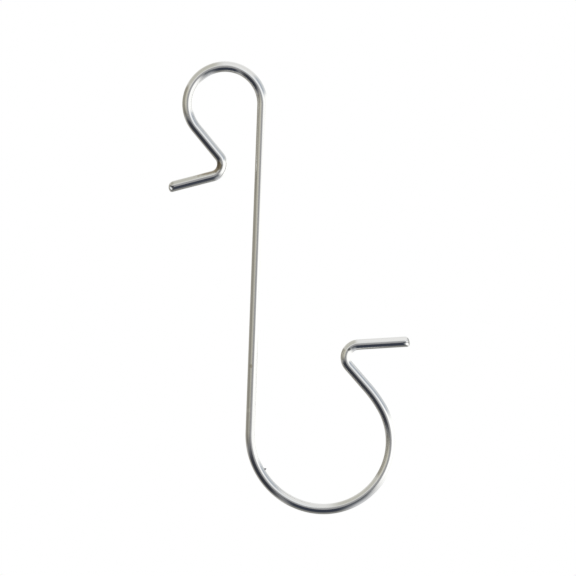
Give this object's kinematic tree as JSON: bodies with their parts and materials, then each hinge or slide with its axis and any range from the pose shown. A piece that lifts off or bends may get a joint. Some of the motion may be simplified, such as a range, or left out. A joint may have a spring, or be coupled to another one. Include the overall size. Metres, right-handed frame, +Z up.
{
  "type": "ornament hook",
  "caption": "Bent round-wire hook with a nearly closed loop at the top, a straight shank, a wider open loop below and a short tail turned out at each end.",
  "frame": {"origin": "centre of the upper loop, on the wire's own plane", "axes": "+Z up along the straight shank, +X across the hook towards the lower loop's side, +Y through the loops, square to the wire's plane"},
  "size_m": [0.0349, 0.0014, 0.0635],
  "materials": {
    "bright_wire": "bright nickel-plated drawn steel wire, polished, with fine lengthwise draw lines"
  },
  "bodies": {
    "root": {"hook_wire": "bright_wire"}
  },
  "joints": []
}
